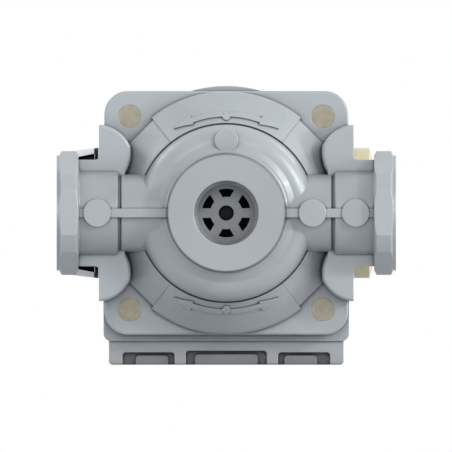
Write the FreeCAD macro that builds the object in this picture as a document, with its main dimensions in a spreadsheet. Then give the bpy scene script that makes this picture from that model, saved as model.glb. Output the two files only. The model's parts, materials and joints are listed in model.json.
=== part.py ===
import FreeCAD, Part
import math
import os

import Sketcher
from FreeCAD import Placement, Rotation, Vector

# Quick exhaust valve with two threaded ports in line and an exhaust port across them.
# +X runs along the port axis, +Z is up, and -Y points out of the exhaust port.
# The origin is the centre of the foot's sole. The profiles below are drawn about the point
# where the port axis and the exhaust axis cross, and each sub-part's placement lifts that
# point to its height above the sole. All sizes are in millimetres.

SIZES = {
    # port threads, G 3/8
    "thread_radius": 8.33,
    "thread_chamfer": 0.15,
    "thread_length": 12.5,
    "bore_radius": 7.0,
    # port tubes and their hexagon ends
    "port_face": 43.95,
    "land_length": 0.65,
    "land_radius": 14.9,
    "hex_length": 5.0,
    "hex_width": 30.0,
    "hex_turned_radius": 16.07,
    "hex_chamfer": 0.62,
    "tube_radius": 11.0,
    "tube_round": 0.6,
    "tube_start": 28.0,
    "tube_foot_round": 0.5,
    "neck_radius": 10.05,
    "neck_relief_width": 0.9,
    "neck_relief_depth": 0.45,
    # rib, pads and webs on the tubes
    "rib_width": 2.28,
    "rib_front": 11.5,
    "rib_depth": 5.0,
    "pad_radius": 3.57,
    "pad_front": 11.9,
    "outer_pad_place": 33.5,
    "inner_pad_place": 22.3,
    "top_pad_radius": 3.06,
    "top_pad_height": 18.8,
    "top_pad_front": 10.0,
    "pad_depth": 5.0,
    "web_half_height": 13.8,
    "web_thickness": 4.0,
    "web_round": 1.0,
    # wings beside the bell
    "wing_front": 2.0,
    "wing_outer": 33.0,
    "wing_top": 22.8,
    "wing_top_width": 1.2,
    "wing_waist_depth": 8.1,
    "wing_waist_height": 17.4,
    "wing_shoulder_radius": 10.0,
    "wing_root_depth": 6.7,
    "wing_root_height": 10.2,
    "wing_flank_radius": 11.0,
    "wing_edge_round": 0.8,
    # exhaust boss and bell
    "boss_radius": 15.1,
    "boss_draft": 0.2,
    "exhaust_face": 17.0,
    "moat_round": 1.2,
    "moat_floor": 9.9,
    "crown_level": 9.2,
    "crown_radius": 18.1,
    "crown_round": 4.8,
    "crown_step": 2.0,
    "groove_width": 0.45,
    "groove_depth": 0.5,
    "cone_angle": 45.0,
    "cone_shoulder": 2.0,
    "bell_radius": 31.3,
    "corner_cut_distance": 30.4,
    "sector_radius": 31.5,
    "sector_rise": 0.4,
    "sector_angle": 76.0,
    # mounting flange of the front body
    "flange_half": 31.6,
    "flange_corner": 6.1,
    "flange_front": 8.0,
    "flange_edge_round": 0.5,
    "joint_level": 14.0,
    # screws
    "screw_place": 25.0,
    "screw_radius": 3.0,
    "screw_fit": 0.02,
    "screw_hole_radius": 3.3,
    "screw_head_radius": 5.0,
    "screw_head_height": 6.0,
    "screw_head_round": 0.6,
    "screw_socket_width": 5.0,
    "screw_socket_depth": 3.0,
    "washer_radius": 6.0,
    "washer_thickness": 1.6,
    "washer_play": 0.2,
    "screw_recess_radius": 6.4,
    # chamber
    "chamber_radius": 16.0,
    "chamber_front": 2.0,
    "seat_plate_radius": 19.0,
    "seat_plate_front": 9.6,
    "seat_plate_thickness": 2.8,
    "clip_radius": 20.0,
    "clip_inner_radius": 17.4,
    "clip_thickness": 1.0,
    "clip_gap_half": 4.0,
    "slot_centre": 24.7,
    "slot_half_width": 3.5,
    "slot_half_length": 8.0,
    # exhaust seat
    "insert_radius": 9.3,
    "insert_front": 6.5,
    "insert_web": 3.0,
    "insert_bore_radius": 7.3,
    "insert_lip": 2.7,
    "hub_radius": 4.2,
    "hub_back": 1.5,
    "spoke_width": 2.46,
    "window_outer_radius": 6.3,
    "window_count": 6.0,
    "insert_groove_front": 4.9,
    # inlet seat
    "inlet_window_inner": 5.0,
    "inlet_window_outer": 8.9,
    "inlet_spoke_width": 2.2,
    "inlet_lip_inner": 9.4,
    "inlet_lip_outer": 10.6,
    "inlet_lip_height": 0.8,
    "bush_radius": 3.2,
    "bush_flange_radius": 4.0,
    "bush_flange_thickness": 0.5,
    # poppet
    "stem_radius": 1.9,
    "stem_play": 0.07,
    "stem_front": 3.6,
    "stem_back": 13.6,
    "stem_core_radius": 3.0,
    "stem_flange_radius": 6.0,
    "stem_flange_thickness": 0.6,
    "seal_radius": 11.4,
    "seal_thickness": 3.0,
    "seal_face_radius": 9.6,
    "seal_lip_thickness": 1.4,
    "seal_gap": 0.05,
    "poppet_washer_radius": 6.0,
    "poppet_washer_thickness": 0.8,
    "poppet_nut_width": 7.0,
    "poppet_nut_height": 2.0,
    # round seals
    "ring_section": 0.6,
    "ring_room": 0.02,
    "plug_ring_section": 0.75,
    # general fits
    "fit": 0.02,
    "overrun": 0.5,
    # gasket
    "gasket_thickness": 0.8,
    "gasket_half": 31.2,
    # rear housing
    "rear_flange_half": 31.4,
    "rear_flange_thickness": 8.0,
    "block_inset": 1.1,
    "block_bottom": 33.2,
    "block_top": 12.0,
    "block_corner": 2.0,
    "barrel_radius": 32.9,
    "barrel_back": 51.0,
    "barrel_round": 3.0,
    "rear_recess_radius": 22.0,
    "rear_recess_depth": 1.2,
    "cavity_radius": 28.6,
    "cavity_back": 21.0,
    "link_radius": 9.0,
    "gallery_level": 32.0,
    "gallery_radius": 10.0,
    "gallery_boss_radius": 17.0,
    "gallery_boss_rise": 0.2,
    "spot_face_margin": 0.6,
    "spot_face_depth": 6.0,
    "plug_thread_radius": 12.4,
    "plug_thread_length": 10.0,
    "ring_seat_radius": 14.2,
    # foot
    "foot_half": 30.4,
    "foot_bottom": 39.3,
    "foot_top": 31.5,
    "foot_front": 15.6,
    "foot_back": 48.0,
    "foot_corner": 1.0,
    "pedestal_half": 17.0,
    "pedestal_setback": 1.0,
    "foot_pocket_inner": 13.4,
    "foot_pocket_outer": 26.9,
    "foot_pocket_height": 3.2,
    "foot_pad_inner": 15.0,
    "foot_pad_outer": 23.5,
    "foot_pad_height": 2.4,
    "middle_pocket_half": 10.5,
    "middle_pocket_height": 3.6,
    "middle_pad_half": 8.2,
    "middle_pad_height": 2.7,
    "foot_pocket_depth": 4.0,
    "foot_pad_recess": 1.0,
    "foot_pocket_round": 0.9,
    # gallery plug
    "head_gap": 0.05,
    "plug_head_radius": 16.85,
    "plug_head_length": 4.9,
    "plug_chamfer": 1.0,
    "plug_chamfer_drop": 3.1,
    "plug_socket_width": 12.0,
    "plug_socket_depth": 6.0,
    # vent on the other end of the gallery
    "adapter_flange_length": 0.9,
    "adapter_bore_radius": 9.0,
    "guard_base_radius": 16.9,
    "guard_taper": 1.0,
    "guard_wall": 1.0,
    "guard_length": 8.1,
    "guard_cap_thickness": 2.2,
    "guard_hole_radius": 6.0,
    "guard_window_margin": 1.5,
    "filter_inner_radius": 9.5,
    "filter_play": 0.05,
}


class Size:
    """A value of the sheet, or a formula of such values, with its number and its text."""

    def __init__(self, text, number):
        self.text = text
        self.number = number

    def __add__(self, other):
        other = as_size(other)
        return Size("(%s + %s)" % (self.text, other.text), self.number + other.number)

    def __sub__(self, other):
        other = as_size(other)
        return Size("(%s - %s)" % (self.text, other.text), self.number - other.number)

    def __mul__(self, other):
        other = as_size(other)
        return Size("(%s * %s)" % (self.text, other.text), self.number * other.number)

    def __truediv__(self, other):
        other = as_size(other)
        return Size("(%s / %s)" % (self.text, other.text), self.number / other.number)

    def __neg__(self):
        return Size("(-1 * %s)" % self.text, -self.number)

    __radd__ = __add__
    __rmul__ = __mul__


def as_size(value):
    return value if isinstance(value, Size) else Size(repr(float(value)), float(value))


def root(value):
    return Size("sqrt(%s)" % value.text, math.sqrt(value.number))


def sine(angle):
    return Size("sin(%s)" % angle.text, math.sin(math.radians(angle.number)))


def cosine(angle):
    return Size("cos(%s)" % angle.text, math.cos(math.radians(angle.number)))


def tangent(angle):
    return Size("tan(%s)" % angle.text, math.tan(math.radians(angle.number)))


document = FreeCAD.newDocument("QuickExhaustValve")
sheet = document.addObject("Spreadsheet::Sheet", "Sizes")


class Table:
    """The sheet's values by name."""


size = Table()
for row, (alias, number) in enumerate(SIZES.items(), start=1):
    sheet.set("A%d" % row, alias.replace("_", " "))
    sheet.set("B%d" % row, repr(number))
    sheet.setAlias("B%d" % row, alias)
    setattr(size, alias, Size("Sizes.%s" % alias, number))
document.recompute()

ZERO = as_size(0.0)
ROOT_TWO = math.sqrt(2.0)
ROOT_THREE = math.sqrt(3.0)

# Where the port axis lies, in front of the middle of the sole
axes_place = -(size.foot_front + size.foot_back) / 2

# Left and right, top and bottom
SIDES = (1, -1)
CORNERS = [(1, 1), (-1, 1), (-1, -1), (1, -1)]

sub_parts = []


def new_body(node):
    body = document.addObject("PartDesign::Body", node)
    body.Label = node
    body.AllowCompound = True
    bind(body, "Placement.Base.y", axes_place)
    bind(body, "Placement.Base.z", size.foot_bottom)
    sub_parts.append(body)
    return body


def origin_feature(body, role):
    for feature in body.Origin.OriginFeatures:
        if feature.Role == role:
            return feature
    raise ValueError("no origin feature " + role)


def bind(item, path, value):
    item.setExpression(path, as_size(value).text)


def new_sketch(body, plane, level=None, along=None):
    """A sketch on one of the body's origin planes, level away along its normal."""
    sketch = body.newObject("Sketcher::SketchObject", "Sketch")
    sketch.AttachmentSupport = (origin_feature(body, plane), [""])
    sketch.MapMode = "FlatFace"
    if level is not None:
        bind(sketch, "AttachmentOffset.Base.z", level)
    if along is not None:
        bind(sketch, "AttachmentOffset.Base.y", along)
    return sketch


def fix_point(sketch, piece, place, x, y):
    """Constrain one point of the sketch to its place, measured from the sketch's origin."""
    for kind, axis, value in (("DistanceX", -2, x), ("DistanceY", -1, y)):
        if value.text == ZERO.text:
            sketch.addConstraint(Sketcher.Constraint("PointOnObject", piece, place, axis))
        else:
            at = sketch.addConstraint(Sketcher.Constraint(kind, -1, 1, piece, place, value.number))
            sketch.setExpression("Constraints[%d]" % at, value.text)


def arc_centre(start, end, radius, turn):
    """Centre of the short arc from start to end that turns left (1) or right (-1)."""
    middle = (start + end) * 0.5
    chord = end - start
    reach = math.sqrt(radius * radius - 0.25 * chord.Length * chord.Length)
    across = Vector(-chord.y, chord.x, 0).normalize()
    return middle + across * (reach * turn)


def angle_at(centre, point):
    return math.atan2(point.y - centre.y, point.x - centre.x)


def draw_outline(sketch, corners):
    """Draw a closed outline. A corner is (x, y), or (x, y, radius, turn) where an arc ends."""
    corners = [tuple(as_size(value) for value in corner[:3]) + tuple(corner[3:]) for corner in corners]
    points = [Vector(corner[0].number, corner[1].number, 0) for corner in corners]
    first = sketch.GeometryCount
    starts = []
    ends = []
    for index, start in enumerate(points):
        following = (index + 1) % len(points)
        end = points[following]
        if len(corners[following]) == 2:
            sketch.addGeometry(Part.LineSegment(start, end))
            starts.append(1)
            ends.append(2)
            continue
        radius = corners[following][2].number
        turn = corners[following][3]
        centre = arc_centre(start, end, radius, turn)
        low, high = (start, end) if turn > 0 else (end, start)
        circle = Part.Circle(centre, Vector(0, 0, 1), radius)
        sketch.addGeometry(Part.ArcOfCircle(circle, angle_at(centre, low), angle_at(centre, high)))
        starts.append(1 if turn > 0 else 2)
        ends.append(2 if turn > 0 else 1)
    for index, corner in enumerate(corners):
        piece = first + index
        before = first + (index - 1) % len(corners)
        sketch.addConstraint(Sketcher.Constraint("Coincident", before, ends[index - 1], piece, starts[index]))
        fix_point(sketch, piece, starts[index], corner[0], corner[1])
        if len(corner) > 2:
            at = sketch.addConstraint(Sketcher.Constraint("Radius", before, corner[2].number))
            sketch.setExpression("Constraints[%d]" % at, corner[2].text)


def draw_circle(sketch, x, y, radius):
    x = as_size(x)
    y = as_size(y)
    centre = Vector(x.number, y.number, 0)
    piece = sketch.addGeometry(Part.Circle(centre, Vector(0, 0, 1), radius.number))
    fix_point(sketch, piece, 3, x, y)
    at = sketch.addConstraint(Sketcher.Constraint("Radius", piece, radius.number))
    sketch.setExpression("Constraints[%d]" % at, radius.text)


def rounded_box(left, bottom, right, top, radius):
    """Outline of a rectangle with four rounded corners."""
    return [
        (right - radius, bottom),
        (right, bottom + radius, radius, 1),
        (right, top - radius),
        (right - radius, top, radius, 1),
        (left + radius, top),
        (left, top - radius, radius, 1),
        (left, bottom + radius),
        (left + radius, bottom, radius, 1),
    ]


def hexagon(width, x=ZERO, y=ZERO):
    """Outline of a hexagon with two flats across its first axis."""
    flat = width / 2
    low = width / (2 * ROOT_THREE)
    high = width / ROOT_THREE
    return [
        (x + flat, y - low),
        (x + flat, y + low),
        (x, y + high),
        (x - flat, y + low),
        (x - flat, y - low),
        (x, y - high),
    ]


def spoke_window(inner, outer, spoke_width):
    """Outline of the upper window between two spokes with parallel sides."""
    half = spoke_width / 2
    lean = as_size(90.0) - as_size(180.0) / size.window_count
    corners = []
    for radius in (outer, inner):
        along = root(radius * radius - half * half)
        corners.append((along * cosine(lean) - half * sine(lean), along * sine(lean) + half * cosine(lean)))
    (outer_x, outer_y), (inner_x, inner_y) = corners
    return [
        (outer_x, outer_y),
        (-outer_x, outer_y, outer, 1),
        (-inner_x, inner_y),
        (inner_x, inner_y, inner, -1),
    ]


def finish_feature(feature):
    document.recompute()
    return feature


def pad(body, sketch, length, backward=False):
    feature = body.newObject("PartDesign::Pad", "Pad")
    feature.Profile = sketch
    feature.Reversed = backward
    bind(feature, "Length", length)
    return finish_feature(feature)


def pocket(body, sketch, length, backward=False):
    feature = body.newObject("PartDesign::Pocket", "Pocket")
    feature.Profile = sketch
    feature.Reversed = backward
    bind(feature, "Length", length)
    return finish_feature(feature)


def turned(body, sketch, axis, angle=360.0, centred=False):
    feature = body.newObject("PartDesign::Revolution", "Revolution")
    feature.Profile = sketch
    feature.ReferenceAxis = (sketch, [axis])
    bind(feature, "Angle", angle)
    feature.Midplane = centred
    return finish_feature(feature)


def bored(body, sketch, axis):
    feature = body.newObject("PartDesign::Groove", "Groove")
    feature.Profile = sketch
    feature.ReferenceAxis = (sketch, [axis])
    feature.Angle = 360.0
    return finish_feature(feature)


def around_exhaust_axis(body, feature, count):
    """Repeat a feature evenly about the exhaust axis."""
    pattern = body.newObject("PartDesign::PolarPattern", "PolarPattern")
    pattern.Originals = [feature]
    pattern.Axis = (origin_feature(body, "Y_Axis"), [""])
    pattern.Angle = 360.0
    bind(pattern, "Occurrences", count)
    body.Tip = pattern
    return finish_feature(pattern)


def edges_where(shape, wanted):
    """Names of the edges whose own test comes out true."""
    return ["Edge%d" % number for number, edge in enumerate(shape.Edges, start=1) if wanted(edge)]


def rounded(body, base, edges, radius):
    feature = body.newObject("PartDesign::Fillet", "Fillet")
    feature.Base = (base, edges)
    bind(feature, "Radius", radius)
    return finish_feature(feature)


def ring(node, radius, section, across, level):
    """A round seal about the exhaust axis, or about a cross axis where across is true."""
    seal = document.addObject("Part::Torus", node)
    seal.Label = node
    bind(seal, "Radius1", radius)
    bind(seal, "Radius2", section)
    if across:
        seal.Placement = Placement(Vector(0, 0, 0), Rotation(Vector(0, 1, 0), 90))
        bind(seal, "Placement.Base.x", level)
        bind(seal, "Placement.Base.y", axes_place + size.gallery_level)
    else:
        seal.Placement = Placement(Vector(0, 0, 0), Rotation(Vector(1, 0, 0), 90))
        bind(seal, "Placement.Base.y", axes_place + level)
    bind(seal, "Placement.Base.z", size.foot_bottom)
    sub_parts.append(seal)


# Levels that several sub-parts share
hex_end = size.port_face - size.land_length
hex_start = hex_end - size.hex_length
boss_foot = size.boss_radius + size.boss_draft
moat_radius = boss_foot + size.moat_round
crown_edge = size.crown_radius + size.crown_round
cone_foot = crown_edge + size.groove_width
cone_top = -size.crown_level + size.crown_round + size.crown_step
seat_plate_back = size.seat_plate_front + size.seat_plate_thickness
housing_front = size.joint_level + size.gasket_thickness
screw_seat = housing_front + size.rear_flange_thickness
insert_bore = size.insert_radius + size.fit
stem_hole = size.stem_radius + size.stem_play
inlet_lip_front = size.seat_plate_front - size.inlet_lip_height
seal_back = inlet_lip_front - size.seal_gap
seal_front = seal_back - size.seal_thickness
block_half = size.barrel_radius - size.block_inset
gallery_boss_face = size.barrel_radius + size.gallery_boss_rise
plug_bore = size.plug_thread_radius + size.fit
plug_seat = gallery_boss_face - size.plug_ring_section * 2
head_seat = gallery_boss_face + size.head_gap


def cone_profile(wall_radius, rise):
    """Cone, rounded shoulder and wall of the bell, from its foot outwards."""
    shoulder = size.cone_shoulder
    start_radius = wall_radius - shoulder * (as_size(1.0) - sine(size.cone_angle))
    start_level = cone_top - rise + (start_radius - cone_foot) * tangent(size.cone_angle)
    return [
        (start_radius, start_level),
        (wall_radius, start_level + shoulder * cosine(size.cone_angle), shoulder, 1),
        (wall_radius, size.flange_front + size.overrun),
    ]


def build_front_body():
    body = new_body("front_body")

    # mounting flange
    sketch = new_sketch(body, "XZ_Plane", -size.flange_front)
    half = size.flange_half
    draw_outline(sketch, rounded_box(-half, -half, half, half, size.flange_corner))
    flange = pad(body, sketch, size.joint_level - size.flange_front, backward=True)

    def on_flange_front(edge):
        return all(abs(vertex.Point.y - size.flange_front.number) < 0.001 for vertex in edge.Vertexes)

    rounded(body, flange, edges_where(flange.Shape, on_flange_front), size.flange_edge_round)

    # bell with the exhaust boss
    sketch = new_sketch(body, "XY_Plane")
    draw_outline(sketch, [
        (ZERO, -size.exhaust_face),
        (size.boss_radius, -size.exhaust_face),
        (boss_foot, -(size.moat_floor + size.moat_round)),
        (moat_radius, -size.moat_floor, size.moat_round, -1),
        (size.crown_radius, -size.crown_level),
        (crown_edge, -size.crown_level + size.crown_round, size.crown_round, 1),
        (crown_edge, cone_top + size.groove_depth),
        (cone_foot, cone_top + size.groove_depth),
        (cone_foot, cone_top),
    ] + cone_profile(size.bell_radius, ZERO) + [
        (ZERO, size.flange_front + size.overrun),
    ])
    turned(body, sketch, "V_Axis")

    # four flats on the corners of the bell
    reach = size.corner_cut_distance * ROOT_TWO
    outside = size.bell_radius + size.overrun
    for side, up in CORNERS:
        sketch = new_sketch(body, "XZ_Plane", size.exhaust_face)
        draw_outline(sketch, [
            ((reach - outside) * side, outside * up),
            (outside * side, (reach - outside) * up),
            (outside * side, outside * up),
        ])
        pocket(body, sketch, size.exhaust_face + size.flange_front)

    # full sectors at the top and bottom of the bell
    for up in SIDES:
        sketch = new_sketch(body, "YZ_Plane")
        corners = [(size.flange_front + size.overrun, cone_foot), (cone_top - size.sector_rise, cone_foot)]
        for corner in cone_profile(size.sector_radius, size.sector_rise):
            corners.append((corner[1], corner[0]) + tuple(corner[2:3]) + tuple(-turn for turn in corner[3:]))
        draw_outline(sketch, [(corner[0], corner[1] * up) + tuple(corner[2:3])
                              + tuple(turn * up for turn in corner[3:]) for corner in corners])
        turned(body, sketch, "H_Axis", size.sector_angle, centred=True)

    # wings beside the bell, rounded along their curved front edges
    corner = size.wing_outer - size.wing_top_width
    waist = size.wing_outer - size.wing_waist_depth
    root = size.wing_outer - size.wing_root_depth
    for side in SIDES:
        sketch = new_sketch(body, "XZ_Plane", size.wing_front)
        draw_outline(sketch, [
            (root * side, size.wing_root_height),
            (waist * side, size.wing_waist_height, size.wing_flank_radius, -side),
            (corner * side, size.wing_top, size.wing_shoulder_radius, -side),
            (size.wing_outer * side, size.wing_top),
            (size.wing_outer * side, -size.wing_top),
            (corner * side, -size.wing_top),
            (waist * side, -size.wing_waist_height, size.wing_shoulder_radius, -side),
            (root * side, -size.wing_root_height, size.wing_flank_radius, -side),
        ])
        wings = pad(body, sketch, size.wing_front + size.joint_level, backward=True)

    def on_wing_front(edge):
        if not isinstance(edge.Curve, Part.Circle):
            return False
        flat = all(abs(vertex.Point.y + size.wing_front.number) < 0.001 for vertex in edge.Vertexes)
        return flat and edge.Curve.Radius < size.wing_flank_radius.number + 0.001

    rounded(body, wings, edges_where(wings.Shape, on_wing_front), size.wing_edge_round)

    # port tubes with their hexagon ends
    for side in SIDES:
        sketch = new_sketch(body, "XY_Plane")
        relief_start = size.tube_start - size.neck_relief_width
        relief_radius = size.neck_radius - size.neck_relief_depth
        draw_outline(sketch, [(corner[0] * side, corner[1]) + tuple(corner[2:3])
                              + tuple(turn * side for turn in corner[3:]) for corner in [
            (moat_radius, ZERO),
            (moat_radius, size.neck_radius),
            (relief_start, size.neck_radius),
            (relief_start + size.neck_relief_depth, relief_radius),
            (size.tube_start, relief_radius),
            (size.tube_start, size.tube_radius - size.tube_round),
            (size.tube_start + size.tube_round, size.tube_radius, size.tube_round, -1),
            (hex_start - size.tube_foot_round, size.tube_radius),
            (hex_start, size.tube_radius + size.tube_foot_round, size.tube_foot_round, 1),
            (hex_start, size.land_radius),
            (hex_start + size.hex_chamfer, size.hex_turned_radius),
            (hex_end - size.hex_chamfer, size.hex_turned_radius),
            (hex_end, size.land_radius),
            (size.port_face, size.land_radius),
            (size.port_face, ZERO),
        ]])
        turned(body, sketch, "H_Axis")
        sketch = new_sketch(body, "YZ_Plane", hex_end * side)
        draw_circle(sketch, 0, 0, size.hex_width / ROOT_THREE + size.overrun)
        draw_outline(sketch, hexagon(size.hex_width))
        pocket(body, sketch, size.hex_length, backward=side < 0)

    # webs that run from the wings to the hexagon ends
    for side, up in CORNERS:
        sketch = new_sketch(body, "XZ_Plane", size.wing_front)
        web_end = size.wing_outer + size.web_round
        draw_outline(sketch, [
            ((size.wing_outer - size.web_round) * side, ZERO),
            (hex_start * side, ZERO),
            (hex_start * side, size.web_half_height * up),
            (web_end * side, size.web_half_height * up),
            (size.wing_outer * side, (size.web_half_height + size.web_round) * up, size.web_round, -side * up),
            ((size.wing_outer - size.web_round) * side, (size.web_half_height + size.web_round) * up),
        ])
        pad(body, sketch, size.web_thickness, backward=True)

    # parting rib and round pads
    for side in SIDES:
        sketch = new_sketch(body, "XZ_Plane", size.rib_front)
        half_rib = size.rib_width / 2
        draw_outline(sketch, [
            ((boss_foot - size.overrun) * side, -half_rib),
            (hex_start * side, -half_rib),
            (hex_start * side, half_rib),
            ((boss_foot - size.overrun) * side, half_rib),
        ])
        pad(body, sketch, size.rib_depth, backward=True)
    sketch = new_sketch(body, "XZ_Plane", size.pad_front)
    for place in (size.outer_pad_place, -size.outer_pad_place, size.inner_pad_place):
        draw_circle(sketch, place, 0, size.pad_radius)
    pad(body, sketch, size.pad_depth, backward=True)
    sketch = new_sketch(body, "XZ_Plane", size.top_pad_front)
    draw_circle(sketch, 0, size.top_pad_height, size.top_pad_radius)
    pad(body, sketch, size.pad_depth, backward=True)

    # exhaust bore, valve chamber and seat plate recess
    sketch = new_sketch(body, "XY_Plane")
    clip_front = seat_plate_back - size.fit
    clip_back = seat_plate_back + size.clip_thickness + size.fit
    plate_bore = size.seat_plate_radius + size.fit
    draw_outline(sketch, [
        (ZERO, -(size.exhaust_face + size.overrun)),
        (size.thread_radius + size.thread_chamfer + size.overrun, -(size.exhaust_face + size.overrun)),
        (size.thread_radius, -(size.exhaust_face - size.thread_chamfer)),
        (size.thread_radius, -size.insert_front),
        (insert_bore, -size.insert_front),
        (insert_bore, -size.chamber_front),
        (size.chamber_radius, -size.chamber_front),
        (size.chamber_radius, size.seat_plate_front),
        (plate_bore, size.seat_plate_front),
        (plate_bore, clip_front),
        (size.clip_radius, clip_front),
        (size.clip_radius, clip_back),
        (plate_bore, clip_back),
        (plate_bore, size.joint_level + size.overrun),
        (ZERO, size.joint_level + size.overrun),
    ])
    bored(body, sketch, "V_Axis")

    # port bores: the right one opens into the chamber, the left one ends at the slot
    inlet_end = size.slot_centre - size.slot_half_width
    outlet_end = size.chamber_radius - size.overrun
    for side, end in ((1, outlet_end), (-1, inlet_end)):
        sketch = new_sketch(body, "XY_Plane")
        thread_end = size.port_face - size.thread_length
        draw_outline(sketch, [
            (end * side, ZERO),
            (end * side, size.bore_radius),
            (thread_end * side, size.bore_radius),
            (thread_end * side, size.thread_radius),
            ((size.port_face - size.thread_chamfer) * side, size.thread_radius),
            ((size.port_face + size.overrun) * side, size.thread_radius + size.thread_chamfer + size.overrun),
            ((size.port_face + size.overrun) * side, ZERO),
        ])
        bored(body, sketch, "H_Axis")

    # slot that leads the inlet air back to the joint face
    sketch = new_sketch(body, "XZ_Plane", -size.joint_level)
    left = -(size.slot_centre + size.slot_half_width)
    right = -(size.slot_centre - size.slot_half_width)
    straight = size.slot_half_length - size.slot_half_width
    draw_outline(sketch, [
        (left, -straight),
        (-size.slot_centre, -size.slot_half_length, size.slot_half_width, 1),
        (right, -straight, size.slot_half_width, 1),
        (right, straight),
        (-size.slot_centre, size.slot_half_length, size.slot_half_width, 1),
        (left, straight, size.slot_half_width, 1),
    ])
    pocket(body, sketch, size.joint_level, backward=True)

    # threaded holes for the cover screws
    sketch = new_sketch(body, "XZ_Plane", -size.joint_level)
    for side, up in CORNERS:
        draw_circle(sketch, size.screw_place * side, size.screw_place * up, size.screw_radius + size.screw_fit)
    pocket(body, sketch, size.joint_level - size.flange_front + size.overrun, backward=True)


def build_exhaust_seat():
    body = new_body("exhaust_seat")
    sketch = new_sketch(body, "XY_Plane")
    groove_back = size.insert_groove_front - size.ring_section * 2 - size.ring_room * 2
    groove_radius = size.insert_radius - size.ring_section * 2
    web_back = -(size.insert_front - size.insert_web)
    draw_outline(sketch, [
        (stem_hole, -size.insert_front),
        (size.insert_radius, -size.insert_front),
        (size.insert_radius, -size.insert_groove_front),
        (groove_radius, -size.insert_groove_front),
        (groove_radius, -groove_back),
        (size.insert_radius, -groove_back),
        (size.insert_radius, size.insert_lip),
        (size.insert_bore_radius + size.overrun, size.insert_lip),
        (size.insert_bore_radius, size.insert_lip - size.overrun),
        (size.insert_bore_radius, web_back),
        (size.hub_radius, web_back),
        (size.hub_radius, -size.hub_back),
        (stem_hole, -size.hub_back),
    ])
    turned(body, sketch, "V_Axis")
    sketch = new_sketch(body, "XZ_Plane", size.insert_front)
    draw_outline(sketch, spoke_window(size.hub_radius, size.window_outer_radius, size.spoke_width))
    window = pocket(body, sketch, size.insert_web + size.overrun)
    around_exhaust_axis(body, window, size.window_count)


def build_seat_plate():
    body = new_body("seat_plate")
    sketch = new_sketch(body, "XY_Plane")
    front = size.seat_plate_front
    radius = size.seat_plate_radius
    groove_radius = radius - size.ring_section * 2
    groove_front = front + size.seat_plate_thickness / 2 - size.ring_section - size.ring_room
    groove_back = front + size.seat_plate_thickness / 2 + size.ring_section + size.ring_room
    lip_middle = (size.inlet_lip_inner + size.inlet_lip_outer) / 2
    draw_outline(sketch, [
        (size.bush_radius, front),
        (size.inlet_lip_inner, front),
        (lip_middle - size.ring_section / 2, inlet_lip_front),
        (lip_middle + size.ring_section / 2, inlet_lip_front),
        (size.inlet_lip_outer, front),
        (radius, front),
        (radius, groove_front),
        (groove_radius, groove_front),
        (groove_radius, groove_back),
        (radius, groove_back),
        (radius, seat_plate_back),
        (size.bush_radius, seat_plate_back),
    ])
    turned(body, sketch, "V_Axis")
    sketch = new_sketch(body, "XZ_Plane", -front)
    draw_outline(sketch, spoke_window(size.inlet_window_inner, size.inlet_window_outer, size.inlet_spoke_width))
    window = pocket(body, sketch, size.seat_plate_thickness + size.overrun)
    around_exhaust_axis(body, window, size.window_count)


def build_guide_bush():
    body = new_body("guide_bush")
    sketch = new_sketch(body, "XY_Plane")
    outer = size.bush_radius - size.fit
    flange_back = seat_plate_back + size.bush_flange_thickness
    draw_outline(sketch, [
        (stem_hole, size.seat_plate_front),
        (outer, size.seat_plate_front),
        (outer, seat_plate_back),
        (size.bush_flange_radius, seat_plate_back),
        (size.bush_flange_radius, flange_back),
        (stem_hole, flange_back),
    ])
    turned(body, sketch, "V_Axis")


def build_seat_clip():
    body = new_body("seat_plate_clip")
    sketch = new_sketch(body, "XZ_Plane", -seat_plate_back)
    draw_circle(sketch, 0, 0, size.clip_radius - size.fit)
    draw_circle(sketch, 0, 0, size.clip_inner_radius)
    pad(body, sketch, size.clip_thickness, backward=True)
    sketch = new_sketch(body, "XZ_Plane", -seat_plate_back)
    draw_outline(sketch, [
        (-size.clip_gap_half, ZERO),
        (size.clip_gap_half, ZERO),
        (size.clip_gap_half, size.clip_radius + size.overrun),
        (-size.clip_gap_half, size.clip_radius + size.overrun),
    ])
    pocket(body, sketch, size.clip_thickness + size.overrun)


def build_poppet():
    body = new_body("poppet_stem")
    sketch = new_sketch(body, "XY_Plane")
    flange_back = seal_back + size.stem_flange_thickness
    tip = size.fit * 10
    draw_outline(sketch, [
        (ZERO, -size.stem_front),
        (size.stem_radius - tip, -size.stem_front),
        (size.stem_radius, -size.stem_front + tip),
        (size.stem_radius, seal_front),
        (size.stem_core_radius, seal_front),
        (size.stem_core_radius, seal_back),
        (size.stem_flange_radius, seal_back),
        (size.stem_flange_radius, flange_back),
        (size.stem_radius, flange_back),
        (size.stem_radius, size.stem_back - tip),
        (size.stem_radius - tip, size.stem_back),
        (ZERO, size.stem_back),
    ])
    turned(body, sketch, "V_Axis")

    body = new_body("poppet_seal")
    sketch = new_sketch(body, "XY_Plane")
    inner = size.stem_core_radius + size.fit
    draw_outline(sketch, [
        (inner, seal_front),
        (size.seal_face_radius, seal_front),
        (size.seal_radius, seal_back - size.seal_lip_thickness),
        (size.seal_radius, seal_back),
        (inner, seal_back),
    ])
    turned(body, sketch, "V_Axis")

    body = new_body("poppet_washer")
    sketch = new_sketch(body, "XZ_Plane", -seal_front)
    draw_circle(sketch, 0, 0, size.poppet_washer_radius)
    draw_circle(sketch, 0, 0, size.stem_radius + size.fit)
    pad(body, sketch, size.poppet_washer_thickness)

    body = new_body("poppet_nut")
    nut_back = seal_front - size.poppet_washer_thickness
    sketch = new_sketch(body, "XZ_Plane", -nut_back)
    draw_outline(sketch, hexagon(size.poppet_nut_width))
    draw_circle(sketch, 0, 0, size.stem_radius + size.fit)
    pad(body, sketch, size.poppet_nut_height)


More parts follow.
